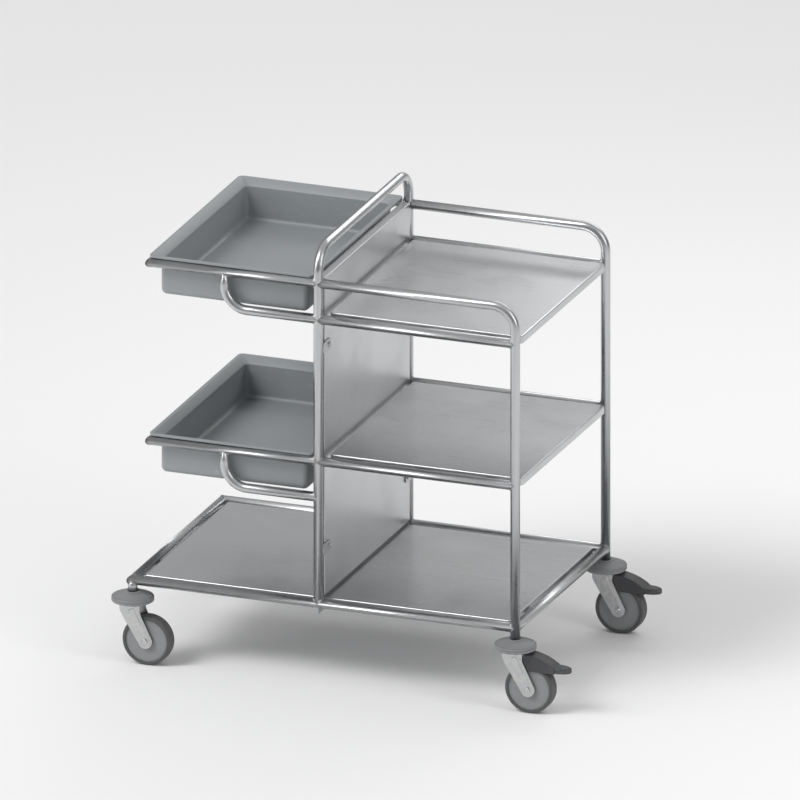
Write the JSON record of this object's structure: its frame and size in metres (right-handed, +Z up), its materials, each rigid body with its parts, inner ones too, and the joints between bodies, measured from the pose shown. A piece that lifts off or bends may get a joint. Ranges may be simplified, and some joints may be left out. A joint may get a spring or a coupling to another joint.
{
  "type": "tiered trolley",
  "caption": "Tubular steel service trolley with shelves on one side of a divider panel, lift-out tubs on the other, an arched push handle and swivel castors with brakes.",
  "frame": {"origin": "on the floor, midway along and across the whole trolley", "axes": "+X from the tub side to the shelf side, +Y from the front to the back, +Z up"},
  "size_m": [1.1579, 0.705, 1.0985],
  "materials": {
    "tube": "fine brushed stainless tube",
    "sheet": "lengthwise brushed stainless sheet",
    "bracket": "satin stainless",
    "tub": "fine-grained moulded plastic",
    "castor_metal": "bright zinc plate",
    "fastener": "satin stainless",
    "hub": "moulded plastic",
    "tyre": "non-marking grey rubber",
    "bumper": "soft moulded plastic",
    "pedal": "fine-grained moulded plastic"
  },
  "bodies": {
    "frame": {"base_front_rail": "tube", "base_rear_rail": "tube", "base_left_rail": "tube", "base_right_rail": "tube", "front_left_leg": "tube", "rear_left_leg": "tube", "middle_shelf_front_rail": "tube", "middle_shelf_rear_rail": "tube", "upper_shelf_front_rail": "tube", "upper_shelf_rear_rail": "tube", "lower_tub_front_rail": "tube", "lower_tub_rear_rail": "tube", "lower_tub_left_rail": "tube", "upper_tub_front_rail": "tube", "upper_tub_rear_rail": "tube", "upper_tub_left_rail": "tube", "centre_arch": "tube", "front_guard_post": "tube", "rear_guard_post": "tube", "lower_front_brace": "tube", "lower_rear_brace": "tube", "upper_front_brace": "tube", "upper_rear_brace": "tube", "upper_shelf": "sheet", "middle_shelf": "sheet", "base_deck": "sheet", "divider_panel": "sheet", "divider_back": "sheet", "shelf_tabs": "bracket", "deck_stiffener": "bracket", "panel_lugs": "bracket", "panel_screws": "fastener", "bumper_discs": "bumper", "castor_stems": "castor_metal"},
    "upper_tub": {"upper_tub": "tub"},
    "lower_tub": {"lower_tub": "tub"},
    "front_left_castor": {"front_left_fork": "castor_metal", "front_left_axle_bolt": "fastener", "front_left_axle_sleeve": "castor_metal"},
    "front_left_wheel": {"front_left_wheel_hub": "hub", "front_left_tyre": "tyre"},
    "rear_left_castor": {"rear_left_fork": "castor_metal", "rear_left_axle_bolt": "fastener", "rear_left_axle_sleeve": "castor_metal"},
    "rear_left_wheel": {"rear_left_wheel_hub": "hub", "rear_left_tyre": "tyre"},
    "front_right_castor": {"front_right_fork": "castor_metal", "front_right_axle_bolt": "fastener", "front_right_axle_sleeve": "castor_metal", "front_right_brake_pin": "fastener"},
    "front_right_wheel": {"front_right_wheel_hub": "hub", "front_right_tyre": "tyre"},
    "front_right_pedal": {"front_right_pedal": "pedal"},
    "rear_right_castor": {"rear_right_fork": "castor_metal", "rear_right_axle_bolt": "fastener", "rear_right_axle_sleeve": "castor_metal", "rear_right_brake_pin": "fastener"},
    "rear_right_wheel": {"rear_right_wheel_hub": "hub", "rear_right_tyre": "tyre"},
    "rear_right_pedal": {"rear_right_pedal": "pedal"}
  },
  "joints": [
    {"name": "upper_tub_lift", "type": "slide", "parent": "frame", "child": "upper_tub", "axis": [0, 0, 1], "range_m": [0, 0.3]},
    {"name": "lower_tub_lift", "type": "slide", "parent": "frame", "child": "lower_tub", "axis": [0, 0, 1], "range_m": [0, 0.25]},
    {"name": "front_left_swivel", "type": "hinge", "parent": "frame", "child": "front_left_castor", "pos_m": [-0.528, -0.3015, 0.154], "axis": [0, 0, 1], "continuous": true},
    {"name": "front_left_roll", "type": "hinge", "parent": "front_left_castor", "child": "front_left_wheel", "pos_m": [-0.4885, -0.3015, 0.0605], "axis": [0, 1, 0], "continuous": true},
    {"name": "rear_left_swivel", "type": "hinge", "parent": "frame", "child": "rear_left_castor", "pos_m": [-0.528, 0.3015, 0.154], "axis": [0, 0, 1], "continuous": true},
    {"name": "rear_left_roll", "type": "hinge", "parent": "rear_left_castor", "child": "rear_left_wheel", "pos_m": [-0.4885, 0.3015, 0.0605], "axis": [0, 1, 0], "continuous": true},
    {"name": "front_right_swivel", "type": "hinge", "parent": "frame", "child": "front_right_castor", "pos_m": [0.437, -0.3015, 0.154], "axis": [0, 0, 1], "continuous": true},
    {"name": "front_right_roll", "type": "hinge", "parent": "front_right_castor", "child": "front_right_wheel", "pos_m": [0.4765, -0.3015, 0.0605], "axis": [0, 1, 0], "continuous": true},
    {"name": "front_right_brake", "type": "hinge", "parent": "front_right_castor", "child": "front_right_pedal", "pos_m": [0.457, -0.3015, 0.132], "axis": [0, 1, 0], "range_deg": [0, 7]},
    {"name": "rear_right_swivel", "type": "hinge", "parent": "frame", "child": "rear_right_castor", "pos_m": [0.437, 0.3015, 0.154], "axis": [0, 0, 1], "continuous": true},
    {"name": "rear_right_roll", "type": "hinge", "parent": "rear_right_castor", "child": "rear_right_wheel", "pos_m": [0.4765, 0.3015, 0.0605], "axis": [0, 1, 0], "continuous": true},
    {"name": "rear_right_brake", "type": "hinge", "parent": "rear_right_castor", "child": "rear_right_pedal", "pos_m": [0.457, 0.3015, 0.132], "axis": [0, 1, 0], "range_deg": [0, 7]}
  ]
}
